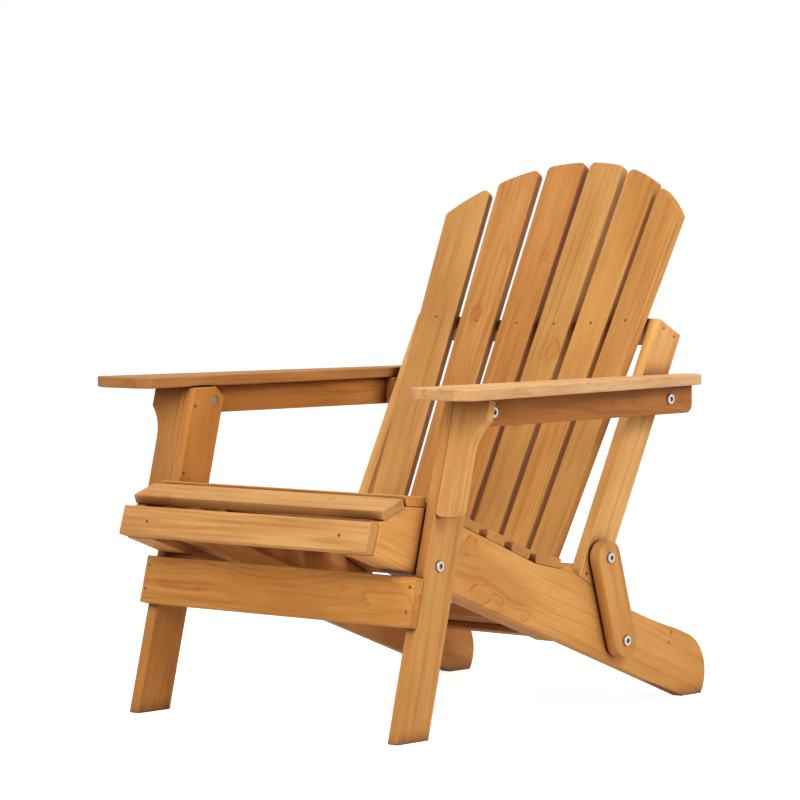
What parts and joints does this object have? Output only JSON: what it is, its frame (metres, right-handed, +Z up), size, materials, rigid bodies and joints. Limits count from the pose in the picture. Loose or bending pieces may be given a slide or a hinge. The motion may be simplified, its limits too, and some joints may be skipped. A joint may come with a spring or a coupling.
{
  "type": "folding garden chair",
  "caption": "Low slatted wooden garden chair with a fanned, arched back and wide arms; the legs, arms and back fold flat onto the seat on pivot bolts.",
  "frame": {"origin": "middle of the overall box, on the floor", "axes": "+Z up, the chair faces -Y, X across with +X to the sitter's left"},
  "size_m": [0.7776, 0.847, 0.8557],
  "materials": {
    "arm_board_left": "satin stained softwood",
    "arm_board_right": "satin stained softwood",
    "arm_bracket_left": "satin stained softwood",
    "arm_bracket_right": "satin stained softwood",
    "arm_front_block_left": "satin stained softwood",
    "arm_front_block_right": "satin stained softwood",
    "arm_rail_left": "satin stained softwood",
    "arm_rail_right": "satin stained softwood",
    "arm_rear_block_left": "satin stained softwood",
    "arm_rear_block_right": "satin stained softwood",
    "back_post_left": "satin stained softwood",
    "back_post_right": "satin stained softwood",
    "back_slat_1": "satin stained softwood",
    "back_slat_2": "satin stained softwood",
    "back_slat_3": "satin stained softwood",
    "back_slat_4": "satin stained softwood",
    "back_slat_5": "satin stained softwood",
    "back_slat_6": "satin stained softwood",
    "front_leg_left": "satin stained softwood",
    "front_leg_right": "satin stained softwood",
    "front_stretcher": "satin stained softwood",
    "link_left": "satin stained softwood",
    "link_right": "satin stained softwood",
    "lower_brace": "satin stained softwood",
    "rear_cross_rail": "satin stained softwood",
    "rear_tie_board": "satin stained softwood",
    "seat_apron": "satin stained softwood",
    "seat_batten_left": "satin stained softwood",
    "seat_batten_right": "satin stained softwood",
    "seat_slat_1": "satin stained softwood",
    "seat_slat_2": "satin stained softwood",
    "seat_slat_3": "satin stained softwood",
    "seat_slat_4": "satin stained softwood",
    "seat_slat_5": "satin stained softwood",
    "seat_slat_6": "satin stained softwood",
    "seat_slat_7": "satin stained softwood",
    "side_board_left": "satin stained softwood",
    "side_board_right": "satin stained softwood",
    "upper_brace": "satin stained softwood",
    "screw_steel": "dark",
    "zinc_steel": "zinc plated"
  },
  "bodies": {
    "seat": {"apron_screws": "screw_steel", "cross_rail_screws": "screw_steel", "rear_cross_rail": "rear_cross_rail", "rear_tie_board": "rear_tie_board", "seat_apron": "seat_apron", "seat_batten_left": "seat_batten_left", "seat_batten_right": "seat_batten_right", "seat_pivot_bolts": "zinc_steel", "seat_pivot_nuts": "zinc_steel", "seat_slat_1": "seat_slat_1", "seat_slat_2": "seat_slat_2", "seat_slat_3": "seat_slat_3", "seat_slat_4": "seat_slat_4", "seat_slat_5": "seat_slat_5", "seat_slat_6": "seat_slat_6", "seat_slat_7": "seat_slat_7", "side_board_left": "side_board_left", "side_board_right": "side_board_right"},
    "front_frame": {"arm_bracket_left": "arm_bracket_left", "arm_bracket_right": "arm_bracket_right", "bracket_screws": "screw_steel", "front_leg_left": "front_leg_left", "front_leg_right": "front_leg_right", "front_stretcher": "front_stretcher", "stretcher_screws": "screw_steel"},
    "arm_left": {"arm_board_left": "arm_board_left", "arm_front_block_left": "arm_front_block_left", "arm_front_bolt_left": "zinc_steel", "arm_front_nut_left": "zinc_steel", "arm_rail_left": "arm_rail_left", "arm_rear_block_left": "arm_rear_block_left", "arm_rear_bolt_left": "zinc_steel"},
    "arm_right": {"arm_board_right": "arm_board_right", "arm_front_block_right": "arm_front_block_right", "arm_front_bolt_right": "zinc_steel", "arm_front_nut_right": "zinc_steel", "arm_rail_right": "arm_rail_right", "arm_rear_block_right": "arm_rear_block_right", "arm_rear_bolt_right": "zinc_steel"},
    "link_left": {"link_left": "link_left"},
    "link_right": {"link_right": "link_right"},
    "back": {"back_barrels": "zinc_steel", "back_pivot_bolts": "zinc_steel", "back_pivot_nuts": "zinc_steel", "back_post_left": "back_post_left", "back_post_right": "back_post_right", "back_slat_1": "back_slat_1", "back_slat_2": "back_slat_2", "back_slat_3": "back_slat_3", "back_slat_4": "back_slat_4", "back_slat_5": "back_slat_5", "back_slat_6": "back_slat_6", "back_slat_screws": "screw_steel", "brace_screws": "screw_steel", "lower_brace": "lower_brace", "upper_brace": "upper_brace"}
  },
  "joints": [
    {"name": "leg_fold", "type": "hinge", "parent": "seat", "child": "front_frame", "pos_m": [0, -0.28692, 0.254], "axis": [1, 0, 0], "range_deg": [0, 81]},
    {"name": "link_swing_left", "type": "hinge", "parent": "seat", "child": "link_left", "pos_m": [0.265, 0.15784, 0.10597], "axis": [1, 0, 0], "range_deg": [-32.4, 0]},
    {"name": "arm_swing_left", "type": "hinge", "parent": "front_frame", "child": "arm_left", "pos_m": [0.265, -0.20888, 0.47793], "axis": [1, 0, 0], "range_deg": [-78.85, 0]},
    {"name": "link_swing_right", "type": "hinge", "parent": "seat", "child": "link_right", "pos_m": [-0.265, 0.15784, 0.10597], "axis": [1, 0, 0], "range_deg": [-32.4, 0]},
    {"name": "arm_swing_right", "type": "hinge", "parent": "front_frame", "child": "arm_right", "pos_m": [-0.265, -0.20888, 0.47793], "axis": [1, 0, 0], "range_deg": [-78.85, 0]},
    {"name": "back_fold", "type": "hinge", "parent": "link_left", "child": "back", "pos_m": [0, 0.11709, 0.23825], "axis": [1, 0, 0], "range_deg": [0, 122.4]}
  ],
  "couplings": [
    {"joint": "link_swing_left", "follows": "leg_fold", "ratio": -0.39988},
    {"joint": "arm_swing_left", "follows": "leg_fold", "ratio": -0.97333},
    {"joint": "link_swing_right", "follows": "leg_fold", "ratio": -0.39988},
    {"joint": "arm_swing_right", "follows": "leg_fold", "ratio": -0.97333},
    {"joint": "back_fold", "follows": "leg_fold", "ratio": 1.511}
  ]
}
